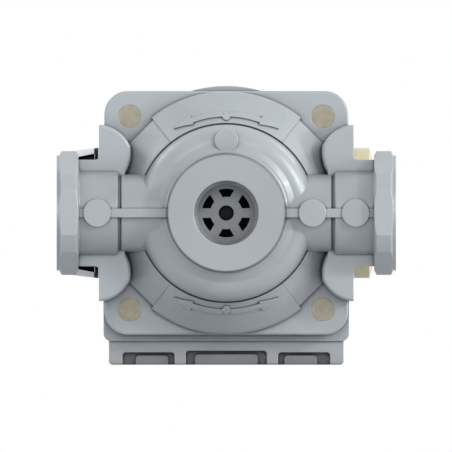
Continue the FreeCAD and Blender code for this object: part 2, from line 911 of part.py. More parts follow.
def build_gasket():
    body = new_body("body_gasket")
    sketch = new_sketch(body, "XZ_Plane", -size.joint_level)
    half = size.gasket_half
    draw_outline(sketch, rounded_box(-half, -half, half, half, size.flange_corner))
    draw_circle(sketch, 0, 0, size.cavity_radius)
    for side, up in CORNERS:
        draw_circle(sketch, size.screw_place * side, size.screw_place * up, size.screw_hole_radius)
    pad(body, sketch, size.gasket_thickness, backward=True)


def foot_recess(body, pocket_left, pocket_right, pad_left, pad_right, pocket_height, pad_height):
    """A pocket in the front of the foot, open at the bottom, around a pad that stands a little back."""
    below = -(size.foot_bottom + size.overrun)
    pocket_top = -(size.foot_bottom - pocket_height)
    pad_top = -(size.foot_bottom - pad_height)
    corner = size.foot_pocket_round
    sketch = new_sketch(body, "XZ_Plane", -size.foot_front)
    opening = [
        (pocket_left, below),
        (pocket_right, below),
        (pocket_right, pocket_top - corner),
        (pocket_right - corner, pocket_top, corner, 1),
        (pocket_left + corner, pocket_top),
        (pocket_left, pocket_top - corner, corner, 1),
    ]
    draw_outline(sketch, opening)
    pocket(body, sketch, size.foot_pad_recess)
    sketch = new_sketch(body, "XZ_Plane", -size.foot_front)
    draw_outline(sketch, [
        (pocket_left, below),
        (pad_left, below),
        (pad_left, pad_top - corner),
        (pad_left + corner, pad_top, corner, -1),
        (pad_right - corner, pad_top),
        (pad_right, pad_top - corner, corner, -1),
        (pad_right, below),
    ] + opening[1:])
    pocket(body, sketch, size.foot_pocket_depth)


def build_rear_housing():
    body = new_body("rear_housing")

    # flange behind the joint, and the deeper block below it
    sketch = new_sketch(body, "XZ_Plane", -housing_front)
    half = size.rear_flange_half
    draw_outline(sketch, rounded_box(-half, -half, half, half, size.flange_corner))
    pad(body, sketch, size.rear_flange_thickness, backward=True)
    sketch = new_sketch(body, "XZ_Plane", -housing_front)
    draw_outline(sketch, rounded_box(-block_half, -size.block_bottom, block_half, -size.block_top,
                                     size.block_corner))
    pad(body, sketch, size.rear_flange_thickness, backward=True)

    # barrel
    sketch = new_sketch(body, "XY_Plane")
    draw_outline(sketch, [
        (ZERO, housing_front),
        (size.barrel_radius, housing_front),
        (size.barrel_radius, size.barrel_back - size.barrel_round),
        (size.barrel_radius - size.barrel_round, size.barrel_back, size.barrel_round, 1),
        (size.rear_recess_radius + size.rear_recess_depth, size.barrel_back),
        (size.rear_recess_radius, size.barrel_back - size.rear_recess_depth),
        (ZERO, size.barrel_back - size.rear_recess_depth),
    ])
    turned(body, sketch, "V_Axis")

    # boss of the cross gallery
    sketch = new_sketch(body, "YZ_Plane", -gallery_boss_face)
    draw_circle(sketch, size.gallery_level, 0, size.gallery_boss_radius)
    pad(body, sketch, gallery_boss_face * 2)

    # foot
    sketch = new_sketch(body, "XZ_Plane", -size.foot_front)
    draw_outline(sketch, rounded_box(-size.foot_half, -size.foot_bottom, size.foot_half, -size.foot_top,
                                     size.foot_corner))
    pad(body, sketch, size.foot_back - size.foot_front, backward=True)
    sketch = new_sketch(body, "XZ_Plane", -screw_seat)
    draw_outline(sketch, [
        (-size.pedestal_half, -size.foot_top - size.overrun),
        (size.pedestal_half, -size.foot_top - size.overrun),
        (size.pedestal_half, -size.block_top),
        (-size.pedestal_half, -size.block_top),
    ])
    pad(body, sketch, size.foot_back - size.pedestal_setback - screw_seat, backward=True)
    foot_recess(body, -size.middle_pocket_half, size.middle_pocket_half, -size.middle_pad_half,
                size.middle_pad_half, size.middle_pocket_height, size.middle_pad_height)
    foot_recess(body, size.foot_pocket_inner, size.foot_pocket_outer, size.foot_pad_inner,
                size.foot_pad_outer, size.foot_pocket_height, size.foot_pad_height)
    foot_recess(body, -size.foot_pocket_outer, -size.foot_pocket_inner, -size.foot_pad_outer,
                -size.foot_pad_inner, size.foot_pocket_height, size.foot_pad_height)

    # holes and recesses for the cover screws
    sketch = new_sketch(body, "XZ_Plane", -housing_front)
    for side, up in CORNERS:
        draw_circle(sketch, size.screw_place * side, size.screw_place * up, size.screw_hole_radius)
    pocket(body, sketch, size.rear_flange_thickness + size.overrun)
    sketch = new_sketch(body, "XZ_Plane", -screw_seat)
    for side, up in CORNERS:
        draw_circle(sketch, size.screw_place * side, size.screw_place * up, size.screw_recess_radius)
    pocket(body, sketch, size.barrel_back - screw_seat + size.overrun)

    # cavity behind the seat plate, and its link to the gallery
    sketch = new_sketch(body, "XY_Plane")
    draw_outline(sketch, [
        (ZERO, housing_front - size.overrun),
        (size.cavity_radius, housing_front - size.overrun),
        (size.cavity_radius, size.cavity_back),
        (size.link_radius, size.cavity_back),
        (size.link_radius, size.gallery_level),
        (ZERO, size.gallery_level),
    ])
    bored(body, sketch, "V_Axis")

    # cross gallery with a threaded mouth at each end, and a spot face that clears the heads
    sketch = new_sketch(body, "XY_Plane", along=size.gallery_level)
    mouth = gallery_boss_face
    thread_end = mouth - size.plug_thread_length
    cutter_radius = size.gallery_boss_radius + size.spot_face_margin
    cutter_end = mouth + size.spot_face_depth
    half_profile = [
        (thread_end, size.gallery_radius),
        (thread_end, plug_bore),
        (plug_seat, plug_bore),
        (plug_seat, size.ring_seat_radius),
        (mouth, size.ring_seat_radius),
        (mouth, cutter_radius),
        (cutter_end, cutter_radius),
        (cutter_end, ZERO),
    ]
    draw_outline(sketch, half_profile + [(-x, radius) for x, radius in reversed(half_profile)])
    bored(body, sketch, "H_Axis")


def build_screws():
    body = new_body("cover_screws")
    head_seat_level = screw_seat + size.washer_thickness
    head_back = head_seat_level + size.screw_head_height
    places = [(size.screw_place * side, size.screw_place * up) for side, up in CORNERS]
    sketch = new_sketch(body, "XZ_Plane", -size.flange_front)
    for x, z in places:
        draw_circle(sketch, x, z, size.screw_radius)
    pad(body, sketch, head_seat_level - size.flange_front, backward=True)
    sketch = new_sketch(body, "XZ_Plane", -head_seat_level)
    for x, z in places:
        draw_circle(sketch, x, z, size.screw_head_radius)
    heads = pad(body, sketch, size.screw_head_height, backward=True)

    def on_head_rim(edge):
        return all(abs(vertex.Point.y - head_back.number) < 0.001 for vertex in edge.Vertexes)

    rounded(body, heads, edges_where(heads.Shape, on_head_rim), size.screw_head_round)
    sketch = new_sketch(body, "XZ_Plane", -head_back)
    for x, z in places:
        draw_outline(sketch, hexagon(size.screw_socket_width, x, z))
    pocket(body, sketch, size.screw_socket_depth, backward=True)

    body = new_body("screw_washers")
    sketch = new_sketch(body, "XZ_Plane", -screw_seat)
    for x, z in places:
        draw_circle(sketch, x, z, size.washer_radius)
        draw_circle(sketch, x, z, size.screw_radius + size.washer_play)
    pad(body, sketch, size.washer_thickness, backward=True)


def build_gallery_plug():
    body = new_body("gallery_plug")
    sketch = new_sketch(body, "XY_Plane", along=size.gallery_level)
    thread_end = gallery_boss_face - size.plug_thread_length + size.head_gap
    head_end = head_seat + size.plug_head_length
    draw_outline(sketch, [
        (thread_end, ZERO),
        (thread_end, size.plug_thread_radius - size.plug_chamfer),
        (thread_end + size.plug_chamfer, size.plug_thread_radius),
        (head_seat, size.plug_thread_radius),
        (head_seat, size.plug_head_radius),
        (head_end - size.plug_chamfer, size.plug_head_radius),
        (head_end, size.plug_head_radius - size.plug_chamfer_drop),
        (head_end, ZERO),
    ])
    turned(body, sketch, "H_Axis")
    sketch = new_sketch(body, "YZ_Plane", head_end)
    draw_outline(sketch, hexagon(size.plug_socket_width, size.gallery_level))
    pocket(body, sketch, size.plug_socket_depth)


def build_vent():
    inner_end = gallery_boss_face - size.plug_thread_length + size.head_gap
    flange_end = head_seat + size.adapter_flange_length
    guard_end = head_seat + size.guard_length
    cap_start = guard_end - size.guard_cap_thickness
    slope = size.guard_taper / size.guard_length
    inside = size.guard_base_radius - size.guard_wall

    def inner_radius(place):
        return inside - slope * (place - head_seat)

    body = new_body("vent_adapter")
    sketch = new_sketch(body, "XY_Plane", along=size.gallery_level)
    draw_outline(sketch, [
        (-inner_end, size.adapter_bore_radius),
        (-flange_end, size.adapter_bore_radius),
        (-flange_end, inner_radius(flange_end) - size.filter_play),
        (-head_seat, inside - size.filter_play),
        (-head_seat, size.plug_thread_radius),
        (-(inner_end + size.plug_chamfer), size.plug_thread_radius),
        (-inner_end, size.plug_thread_radius - size.plug_chamfer),
    ])
    turned(body, sketch, "H_Axis")

    # cage that snaps over the adapter, with a window in front and behind
    body = new_body("vent_guard")
    tip = size.guard_base_radius - size.guard_taper
    sketch = new_sketch(body, "XY_Plane", along=size.gallery_level)
    draw_outline(sketch, [
        (-head_seat, inside),
        (-head_seat, size.guard_base_radius),
        (-(guard_end - size.plug_chamfer), tip + slope * size.plug_chamfer),
        (-guard_end, tip - size.plug_chamfer),
        (-guard_end, size.guard_hole_radius),
        (-cap_start, size.guard_hole_radius),
        (-cap_start, inner_radius(cap_start)),
    ])
    turned(body, sketch, "H_Axis")
    window_base = size.guard_base_radius - size.guard_window_margin
    window_tip = tip - size.guard_window_margin
    sketch = new_sketch(body, "XZ_Plane", -(size.gallery_level - size.guard_base_radius - size.overrun))
    draw_outline(sketch, [
        (-flange_end, -window_base),
        (-cap_start, -window_tip),
        (-cap_start, window_tip),
        (-flange_end, window_base),
    ])
    pocket(body, sketch, (size.guard_base_radius + size.overrun) * 2)

    body = new_body("vent_filter")
    play = size.filter_play
    sketch = new_sketch(body, "XY_Plane", along=size.gallery_level)
    draw_outline(sketch, [
        (-(flange_end + play), size.filter_inner_radius),
        (-(flange_end + play), inner_radius(flange_end) - play),
        (-(cap_start - play), inner_radius(cap_start) - play),
        (-(cap_start - play), size.filter_inner_radius),
    ])
    turned(body, sketch, "H_Axis")


build_front_body()
build_exhaust_seat()
build_seat_plate()
build_guide_bush()
build_seat_clip()
build_poppet()
build_gasket()
build_rear_housing()
build_screws()
build_gallery_plug()
build_vent()

# Round seals
insert_ring_level = -(size.insert_groove_front - size.ring_section - size.ring_room)
ring("exhaust_seat_ring", size.insert_radius - size.ring_section, size.ring_section - size.ring_room / 2,
     False, insert_ring_level)
ring("seat_plate_ring", size.seat_plate_radius - size.ring_section, size.ring_section - size.ring_room / 2,
     False, size.seat_plate_front + size.seat_plate_thickness / 2)
seat_middle = (size.ring_seat_radius + size.plug_thread_radius) / 2
ring("plug_ring", seat_middle, size.plug_ring_section - size.ring_room, True,
     plug_seat + size.plug_ring_section)
ring("vent_ring", seat_middle, size.plug_ring_section - size.ring_room, True,
     -(plug_seat + size.plug_ring_section))

document.recompute()
for item in document.Objects:
    if "Invalid" in item.State or "Error" in item.State:
        raise RuntimeError("%s: %s %s" % (item.Name, item.Label, item.State))
for item in sub_parts:
    if item.Shape.isNull() or not item.Shape.isValid():
        raise RuntimeError("bad shape in " + item.Label)

os.makedirs("parts", exist_ok=True)
for item in sub_parts:
    item.Shape.exportStep(os.path.join("parts", item.Label + ".step"))
    box = item.Shape.BoundBox
    print("%-20s solids %d volume %9.1f  x %7.2f %7.2f  y %7.2f %7.2f  z %7.2f %7.2f" % (
        item.Label, len(item.Shape.Solids), item.Shape.Volume,
        box.XMin, box.XMax, box.YMin, box.YMax, box.ZMin, box.ZMax))
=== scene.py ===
import json
import math

import bmesh
import bpy
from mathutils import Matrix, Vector


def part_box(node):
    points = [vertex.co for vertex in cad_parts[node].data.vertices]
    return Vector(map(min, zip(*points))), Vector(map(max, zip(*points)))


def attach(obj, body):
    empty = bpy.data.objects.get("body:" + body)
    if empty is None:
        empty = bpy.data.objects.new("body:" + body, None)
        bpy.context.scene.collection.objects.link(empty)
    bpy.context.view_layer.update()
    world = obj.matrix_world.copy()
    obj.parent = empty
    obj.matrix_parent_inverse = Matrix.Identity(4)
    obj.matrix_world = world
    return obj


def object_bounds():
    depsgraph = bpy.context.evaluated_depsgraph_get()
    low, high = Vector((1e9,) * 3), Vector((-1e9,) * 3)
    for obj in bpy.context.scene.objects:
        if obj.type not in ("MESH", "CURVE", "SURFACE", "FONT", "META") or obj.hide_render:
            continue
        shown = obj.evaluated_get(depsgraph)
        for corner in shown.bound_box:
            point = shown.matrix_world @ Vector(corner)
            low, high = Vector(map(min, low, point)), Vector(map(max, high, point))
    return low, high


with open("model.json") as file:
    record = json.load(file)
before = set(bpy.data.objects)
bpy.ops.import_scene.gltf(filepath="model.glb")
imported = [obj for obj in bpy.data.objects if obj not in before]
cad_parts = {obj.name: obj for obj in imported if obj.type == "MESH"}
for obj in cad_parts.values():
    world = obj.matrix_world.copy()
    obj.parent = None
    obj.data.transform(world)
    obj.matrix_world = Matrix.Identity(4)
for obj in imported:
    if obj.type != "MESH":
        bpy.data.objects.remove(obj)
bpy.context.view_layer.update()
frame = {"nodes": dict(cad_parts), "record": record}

MM = 0.001

# Camera: square to the exhaust face, one photo pixel is 0.259 mm wide
PIXEL = 0.259 * MM
PHOTO_SIDE = 452
PORT_AXIS_COLUMN = 226.3
PORT_AXIS_ROW = 213.0
CAMERA_DISTANCE = 0.6

# G 3/8 thread in the three ports
THREAD_PITCH = 1.337 * MM
THREAD_DEPTH = 0.855 * MM
THREAD_SINK = 0.03 * MM
THREAD_HALF_BASE = 0.43 * THREAD_PITCH
THREAD_HALF_CREST = 0.09 * THREAD_PITCH
THREAD_STEPS = 72

# Flow arrows on the two full sectors of the bell, measured from the exhaust axis
SECTOR_FOOT_RADIUS = 22.9 * MM
SECTOR_FOOT_DEPTH = 13.75 * MM
ARROW_RISE = 0.38 * MM
ARROW_SINK = 0.12 * MM
ARROW_ACROSS = 4
SHAFT_INNER = 24.8 * MM
SHAFT_OUTER = 26.0 * MM
SHAFT_START = math.radians(2.3)
SHAFT_END = math.radians(20.3)
SHAFT_STEPS = 16
HEAD_INNER = 24.3 * MM
HEAD_OUTER = 26.9 * MM
HEAD_TIP_RADIUS = 25.6 * MM
HEAD_TIP = math.radians(32.3)
HEAD_STEPS = 12
HEAD_TAPER = 0.97
NIB_RADIUS = 1.0 * MM
NIB_PLACE = 24.9 * MM
NIB_STEPS = 24

# Cast skin: colours with a painted edge highlight, and how far painted shade reaches from creases and
# corners and the highlight from edges
CAST_COLOR = (0.385, 0.415, 0.435)
CAST_DARK = (0.315, 0.345, 0.365)
CAST_EDGE_HIGHLIGHT = (0.62, 0.65, 0.67)
CUT_COLOR = (0.348, 0.374, 0.391)
FACE_MARGIN = 0.02 * MM
TOOL_SPACING = 0.22 * MM
CREASE_REACH = 1.1 * MM
CORNER_REACH = 6.0 * MM
EDGE_HIGHLIGHT_REACH = 0.32 * MM
CAST_SOFTNESS = 0.35 * MM
EDGE_SAMPLES = 8

# Pockets in the foot's front, darkened inside with painted shade
FOOT_POCKET_TOP = 3.7 * MM
FOOT_FACE = -16.2 * MM
POCKET_MARGIN = 0.3 * MM
POCKET_SHADE = 0.62

# Foot of the exhaust boss, darkened by a line of painted shade
BOSS_FOOT_RADIUS = 15.28 * MM
BOSS_FOOT_DEPTH = 8.0 * MM
BOSS_FOOT_LINE = 0.12 * MM
BOSS_FOOT_FADE = 0.5 * MM
BOSS_FOOT_SHADE = 0.5

# Black collar at the root of the vent guard
COLLAR_WIDTH = 1.1 * MM
COLLAR_COLOR = (0.006, 0.007, 0.008)

# Surroundings
FLOOR_COLOR = (0.54, 0.54, 0.55)
FLOOR_SEEN = (0.86, 0.86, 0.86)
FLOOR_HALF = 2.0
FLOOR_GAP = 0.02 * MM
SKY_COLOR = (0.97, 0.985, 1.0)
SKY_STRENGTH = 0.76

mounts = {mount["name"]: mount for mount in frame["record"]["mounts"]}
exhaust = Vector(mounts["exhaust_port"]["pos_m"])
outlet = Vector(mounts["outlet_port"]["pos_m"])
front_low, front_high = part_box("front_body")
guard_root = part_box("vent_guard")[1].x
AXIS_HEIGHT = exhaust.z
EXHAUST_FACE = front_low.y
COLLAR_EDGE = guard_root - COLLAR_WIDTH


# Material building blocks

def start_material(name, color, metallic, roughness):
    """A new material with its shader set to plain values."""
    material = bpy.data.materials.new(name)
    material.use_nodes = True
    tree = material.node_tree
    shader = tree.nodes["Principled BSDF"]
    shader.inputs["Base Color"].default_value = (*color, 1.0)
    shader.inputs["Metallic"].default_value = metallic
    shader.inputs["Roughness"].default_value = roughness
    return material, tree, shader


def place_of(tree):
    """The point on the object, in metres."""
    return tree.nodes.new("ShaderNodeTexCoord").outputs["Object"]


def coordinates(tree):
    """The point's X, Y and Z as separate numbers."""
    split = tree.nodes.new("ShaderNodeSeparateXYZ")
    tree.links.new(place_of(tree), split.inputs["Vector"])
    return split.outputs


def noise(tree, size, detail=3.0, stretch=(1.0, 1.0, 1.0)):
    """Noise whose features are about size across."""
    mapping = tree.nodes.new("ShaderNodeMapping")
    mapping.inputs["Scale"].default_value = stretch
    tree.links.new(place_of(tree), mapping.inputs["Vector"])
    texture = tree.nodes.new("ShaderNodeTexNoise")
    texture.inputs["Scale"].default_value = 1.0 / size
    texture.inputs["Detail"].default_value = detail
    tree.links.new(mapping.outputs["Vector"], texture.inputs["Vector"])
    return texture.outputs["Fac"]


def calculate(tree, operation, first, second=None):
    """One step of arithmetic on sockets or plain numbers."""
    node = tree.nodes.new("ShaderNodeMath")
    node.operation = operation
    for socket, value in zip(node.inputs, (first, second)):
        if value is None:
            continue
        if isinstance(value, (int, float)):
            socket.default_value = value
        else:
            tree.links.new(value, socket)
    return node.outputs["Value"]


def product(tree, first, *others):
    """All the values multiplied together."""
    for other in others:
        first = calculate(tree, "MULTIPLY", first, other)
    return first


def weighted(tree, first, share, second):
    """The sum of two heights, of which the first has the given share."""
    return calculate(tree, "ADD", product(tree, first, share), product(tree, second, 1.0 - share))


def spread(tree, value, low, high, start=0.3, end=0.7):
    """Map a value that varies between start and end to the range from low to high."""
    node = tree.nodes.new("ShaderNodeMapRange")
    node.inputs["From Min"].default_value = start
    node.inputs["From Max"].default_value = end
    node.inputs["To Min"].default_value = low
    node.inputs["To Max"].default_value = high
    tree.links.new(value, node.inputs["Value"])
    return node.outputs["Result"]


def mix_colors(tree, factor, first, second, blend="MIX"):
    """Two colours, each a socket or plain numbers, mixed by a factor."""
    node = tree.nodes.new("ShaderNodeMix")
    node.data_type = "RGBA"
    node.blend_type = blend
    if isinstance(factor, float):
        node.inputs["Factor"].default_value = factor
    else:
        tree.links.new(factor, node.inputs["Factor"])
    for socket, value in ((node.inputs[6], first), (node.inputs[7], second)):
        if isinstance(value, tuple):
            socket.default_value = (*value, 1.0)
        else:
            tree.links.new(value, socket)
    return node.outputs[2]


def soft_normal(tree, radius):
    """The surface normal with edges softened over a radius."""
    bevel = tree.nodes.new("ShaderNodeBevel")
    bevel.samples = EDGE_SAMPLES
    bevel.inputs["Radius"].default_value = radius
    return bevel.outputs["Normal"]


def add_bump(tree, shader, height, distance, strength, edge=None):
    """Bump from a height, on top of softened edges where edge gives their radius."""
    bump = tree.nodes.new("ShaderNodeBump")
    bump.inputs["Strength"].default_value = strength
    bump.inputs["Distance"].default_value = distance
    tree.links.new(height, bump.inputs["Height"])
    if edge is not None:
        tree.links.new(soft_normal(tree, edge), bump.inputs["Normal"])
    tree.links.new(bump.outputs["Normal"], shader.inputs["Normal"])


def edge_nearness(tree, radius):
    """0 on open surfaces, rising to 1 at an edge or crease within the radius."""
    compare = tree.nodes.new("ShaderNodeVectorMath")
    compare.operation = "DOT_PRODUCT"
    tree.links.new(soft_normal(tree, radius), compare.inputs[0])
    tree.links.new(tree.nodes.new("ShaderNodeNewGeometry").outputs["Normal"], compare.inputs[1])
    return spread(tree, compare.outputs["Value"], 1.0, 0.0, 0.8, 0.99)


def recess_shade(tree, distance):
    """1 on open surfaces, falling towards 0 in grooves narrower than distance."""
    node = tree.nodes.new("ShaderNodeAmbientOcclusion")
    node.samples = EDGE_SAMPLES
    node.inputs["Distance"].default_value = distance
    return node.outputs["AO"]


def around_exhaust(tree, place):
    """Distance from the exhaust axis, in metres."""
    return distance_from(tree, place["X"], place["Z"])


def around_ports(tree, place):
    """Distance from the axis of the inlet and outlet ports, in metres."""
    return distance_from(tree, calculate(tree, "SUBTRACT", place["Y"], outlet.y), place["Z"])


def distance_from(tree, across, level):
    """Distance from a level axis at the ports' height, given the offset across it."""
    height = calculate(tree, "SUBTRACT", level, AXIS_HEIGHT)
    squares = calculate(tree, "ADD", product(tree, across, across), product(tree, height, height))
    return calculate(tree, "SQRT", squares)


def tool_rings(tree, radius, spacing):
    """Fine rings left by a lathe tool, 0 to 1."""
    wave = calculate(tree, "SINE", product(tree, radius, 2 * math.pi / spacing))
    return calculate(tree, "ADD", product(tree, wave, 0.5), 0.5)


def foot_pockets(tree, place):
    """Painted shade: 1 outside and less inside the pockets of the foot."""
    low = calculate(tree, "LESS_THAN", place["Z"], FOOT_POCKET_TOP)
    behind = calculate(tree, "GREATER_THAN", place["Y"], FOOT_FACE + POCKET_MARGIN)
    above_sole = calculate(tree, "GREATER_THAN", place["Z"], POCKET_MARGIN)
    return spread(tree, product(tree, low, behind, above_sole), 1.0, POCKET_SHADE, 0.0, 1.0)


def boss_foot(tree, place):
    """Painted shade: 1 away from the foot of the exhaust boss and less along it."""
    off = calculate(tree, "SUBTRACT", around_exhaust(tree, place), BOSS_FOOT_RADIUS)
    away = spread(tree, calculate(tree, "ABSOLUTE", off), 0.0, 1.0, BOSS_FOOT_LINE, BOSS_FOOT_FADE)
    behind = calculate(tree, "GREATER_THAN", place["Y"], EXHAUST_FACE + BOSS_FOOT_DEPTH)
    return spread(tree, calculate(tree, "MAXIMUM", away, behind), BOSS_FOOT_SHADE, 1.0, 0.0, 1.0)


# Materials

def cast_aluminium(name, machined):
    """Blasted die-cast skin, with turned faces where the body is machined."""
    material, tree, shader = start_material(name, CAST_COLOR, 0.2, 0.45)
    place = coordinates(tree)
    cloud = spread(tree, noise(tree, 9 * MM, 4.0), 0.0, 1.0)
    stain = mix_colors(tree, cloud, CAST_DARK, CAST_COLOR)
    skin = mix_colors(tree, spread(tree, cloud, 0.35, 0.0, 0.0, 1.0), CAST_COLOR, stain)
    grain = noise(tree, 0.28 * MM, 2.0)
    pores = noise(tree, 1.6 * MM, 5.0)
    height = weighted(tree, grain, 0.55, pores)
    roughness = spread(tree, pores, 0.32, 0.43)
    if machined:
        boss = calculate(tree, "LESS_THAN", place["Y"], EXHAUST_FACE + FACE_MARGIN)
        lands = calculate(tree, "GREATER_THAN", calculate(tree, "ABSOLUTE", place["X"]),
                          front_high.x - FACE_MARGIN)
        cut = calculate(tree, "MAXIMUM", boss, lands)
        rings = mix_colors(tree, lands, tool_rings(tree, around_exhaust(tree, place), TOOL_SPACING),
                           tool_rings(tree, around_ports(tree, place), TOOL_SPACING))
        skin = mix_colors(tree, cut, skin, CUT_COLOR)
        height = mix_colors(tree, cut, height, rings)
        roughness = calculate(tree, "SUBTRACT", roughness, product(tree, cut, 0.03))
    open_near = recess_shade(tree, CREASE_REACH)
    outer_edge = spread(tree, open_near, 0.0, 0.7, 0.8, 0.95)
    # Painted highlight: convex edges on open surfaces are mixed towards a lighter colour
    edge_highlight = product(tree, edge_nearness(tree, EDGE_HIGHLIGHT_REACH), outer_edge)
    skin = mix_colors(tree, edge_highlight, skin, CAST_EDGE_HIGHLIGHT)
    # Painted shade: ambient occlusion darkens creases and corners, and the boss foot or the foot pockets
    # get painted shade too; all of it multiplies the colour
    crease_shade = spread(tree, open_near, 0.38, 1.0, 0.42, 0.88)
    corners = spread(tree, recess_shade(tree, CORNER_REACH), 0.82, 1.03, 0.3, 0.95)
    spot_shade = boss_foot(tree, place) if machined else foot_pockets(tree, place)
    painted_shade = product(tree, crease_shade, corners, spot_shade)
    tree.links.new(mix_colors(tree, 1.0, skin, painted_shade, "MULTIPLY"), shader.inputs["Base Color"])
    tree.links.new(roughness, shader.inputs["Roughness"])
    add_bump(tree, shader, height, 0.03 * MM, 0.6, edge=CAST_SOFTNESS)
    return material


def turned_metal(name, color, dark, metallic, roughness, spacing, edge):
    """Turned metal with tool rings about the exhaust axis and a little staining."""
    material, tree, shader = start_material(name, color, metallic, roughness)
    rings = tool_rings(tree, around_exhaust(tree, coordinates(tree)), spacing)
    stain = spread(tree, noise(tree, 2.5 * MM, 4.0), 0.0, 1.0)
    fine = noise(tree, 0.15 * MM, 2.0)
    gloss = spread(tree, stain, roughness - 0.06, roughness + 0.08, 0.0, 1.0)
    tree.links.new(mix_colors(tree, stain, dark, color), shader.inputs["Base Color"])
    tree.links.new(gloss, shader.inputs["Roughness"])
    add_bump(tree, shader, weighted(tree, rings, 0.6, fine), 0.012 * MM, 0.5, edge=edge)
    return material


def brushed_metal(name, color, dark, metallic, roughness, stretch, edge, shine=0.5):
    """Metal with fine streaks along one axis, for rolled, stamped and plated pieces."""
    material, tree, shader = start_material(name, color, metallic, roughness)
    streaks = noise(tree, 0.5 * MM, 4.0, stretch)
    stain = spread(tree, noise(tree, 1.8 * MM, 5.0), 0.0, 1.0)
    tree.links.new(mix_colors(tree, stain, dark, color), shader.inputs["Base Color"])
    tree.links.new(spread(tree, streaks, roughness - 0.07, roughness + 0.09), shader.inputs["Roughness"])
    shader.inputs["Specular IOR Level"].default_value = shine
    add_bump(tree, shader, streaks, 0.02 * MM, 0.5, edge=edge)
    return material


def moulded_plastic(name, color, dark, roughness, grain, edge, shine=0.5):
    """Plastic with a fine moulded grain."""
    material, tree, shader = start_material(name, color, 0.0, roughness)
    cloud = spread(tree, noise(tree, 3.0 * MM, 3.0), 0.0, 1.0)
    fine = noise(tree, grain, 2.0)
    tree.links.new(mix_colors(tree, cloud, dark, color), shader.inputs["Base Color"])
    tree.links.new(spread(tree, fine, roughness - 0.06, roughness + 0.08), shader.inputs["Roughness"])
    shader.inputs["Specular IOR Level"].default_value = shine
    add_bump(tree, shader, fine, 0.015 * MM, 0.6, edge=edge)
    return material


def sintered_filter():
    """Black porous filter made of small beads."""
    bead = (0.008, 0.009, 0.011)
    gap = (0.002, 0.002, 0.003)
    material, tree, shader = start_material("filter_black", (0.004, 0.004, 0.005), 0.0, 0.8)
    beads = tree.nodes.new("ShaderNodeTexVoronoi")
    beads.inputs["Scale"].default_value = 1.0 / (0.5 * MM)
    tree.links.new(place_of(tree), beads.inputs["Vector"])
    distance = beads.outputs["Distance"]
    tone = spread(tree, distance, 0.0, 1.0, 0.1, 0.7)
    tree.links.new(mix_colors(tree, tone, bead, gap), shader.inputs["Base Color"])
    tree.links.new(spread(tree, distance, 0.62, 0.9, 0.0, 0.7), shader.inputs["Roughness"])
    add_bump(tree, shader, calculate(tree, "SUBTRACT", 1.0, distance), 0.12 * MM, 0.8)
    return material


def guard_plastic():
    """Pale plastic cage whose root is a black sealing collar."""
    material = moulded_plastic("pale_plastic", (0.83, 0.86, 0.90), (0.76, 0.80, 0.84),
                               0.45, 0.3 * MM, 0.15 * MM)
    tree = material.node_tree
    shader = tree.nodes["Principled BSDF"]
    pale = shader.inputs["Base Color"].links[0].from_socket
    collar = calculate(tree, "GREATER_THAN", coordinates(tree)["X"], COLLAR_EDGE)
    tree.links.new(mix_colors(tree, collar, pale, COLLAR_COLOR), shader.inputs["Base Color"])
    tree.links.new(spread(tree, collar, 0.5, 0.02, 0.0, 1.0), shader.inputs["Specular IOR Level"])
    return material


def gasket_sheet():
    """Pressed fibre sheet."""
    dark = (0.02, 0.024, 0.024)
    pale = (0.055, 0.06, 0.06)
    material, tree, shader = start_material("gasket_sheet", (0.03, 0.035, 0.035), 0.0, 0.75)
    fibres = noise(tree, 0.35 * MM, 4.0, (1.0, 4.0, 1.0))
    tone = spread(tree, fibres, 0.0, 1.0)
    tree.links.new(mix_colors(tree, tone, dark, pale), shader.inputs["Base Color"])
    tree.links.new(spread(tree, fibres, 0.66, 0.84), shader.inputs["Roughness"])
    add_bump(tree, shader, fibres, 0.03 * MM, 0.7, edge=0.08 * MM)
    return material


def dress_nodes():
    """Give each CAD node the finish of its material slot, and return those of the added pieces."""
    finishes = {
        "turned_aluminium": turned_metal("turned_aluminium", (0.44, 0.478, 0.495), (0.37, 0.402, 0.417),
                                         0.15, 0.45, 0.16 * MM, 0.06 * MM),
        "spring_steel": brushed_metal("spring_steel", (0.012, 0.015, 0.017), (0.007, 0.009, 0.011),
                                      0.0, 0.5, (1.0, 6.0, 1.0), 0.08 * MM, 0.16),
        "passivated_steel": brushed_metal("passivated_steel", (0.375, 0.348, 0.275), (0.31, 0.285, 0.215),
                                          0.45, 0.42, (1.0, 5.0, 1.0), 0.14 * MM),
        "brass": brushed_metal("brass", (0.74, 0.69, 0.50), (0.64, 0.58, 0.38),
                               0.2, 0.52, (8.0, 1.0, 1.0), 0.2 * MM),
        "black_rubber": moulded_plastic("black_rubber", (0.006, 0.006, 0.007), (0.003, 0.003, 0.004),
                                        0.7, 0.2 * MM, 0.05 * MM, 0.1),
        "gasket_sheet": gasket_sheet(),
        "dark_acetal": moulded_plastic("dark_acetal", (0.016, 0.02, 0.024), (0.010, 0.013, 0.016),
                                       0.5, 0.25 * MM, 0.08 * MM, 0.14),
        "pale_plastic": guard_plastic(),
        "filter_black": sintered_filter(),
    }
    slots = {part["node"]: part["material_slot"] for part in frame["record"]["subparts"]}
    machined = cast_aluminium("cast_aluminium", True)
    housing = cast_aluminium("cast_aluminium_rear", False)
    for name, node in frame["nodes"].items():
        finish = finishes.get(slots[name], machined if name == "front_body" else housing)
        node.material_slots[0].material = finish
    # Painted shade: the thread ridges get a dark colour that stands for the shade deep in the port bores
    shaded_threads = brushed_metal("thread_painted_shade", (0.16, 0.172, 0.182), (0.12, 0.13, 0.138),
                            0.15, 0.5, (1.0, 1.0, 1.0), 0.05 * MM)
    return machined, shaded_threads


# Pieces that the solids leave to this script

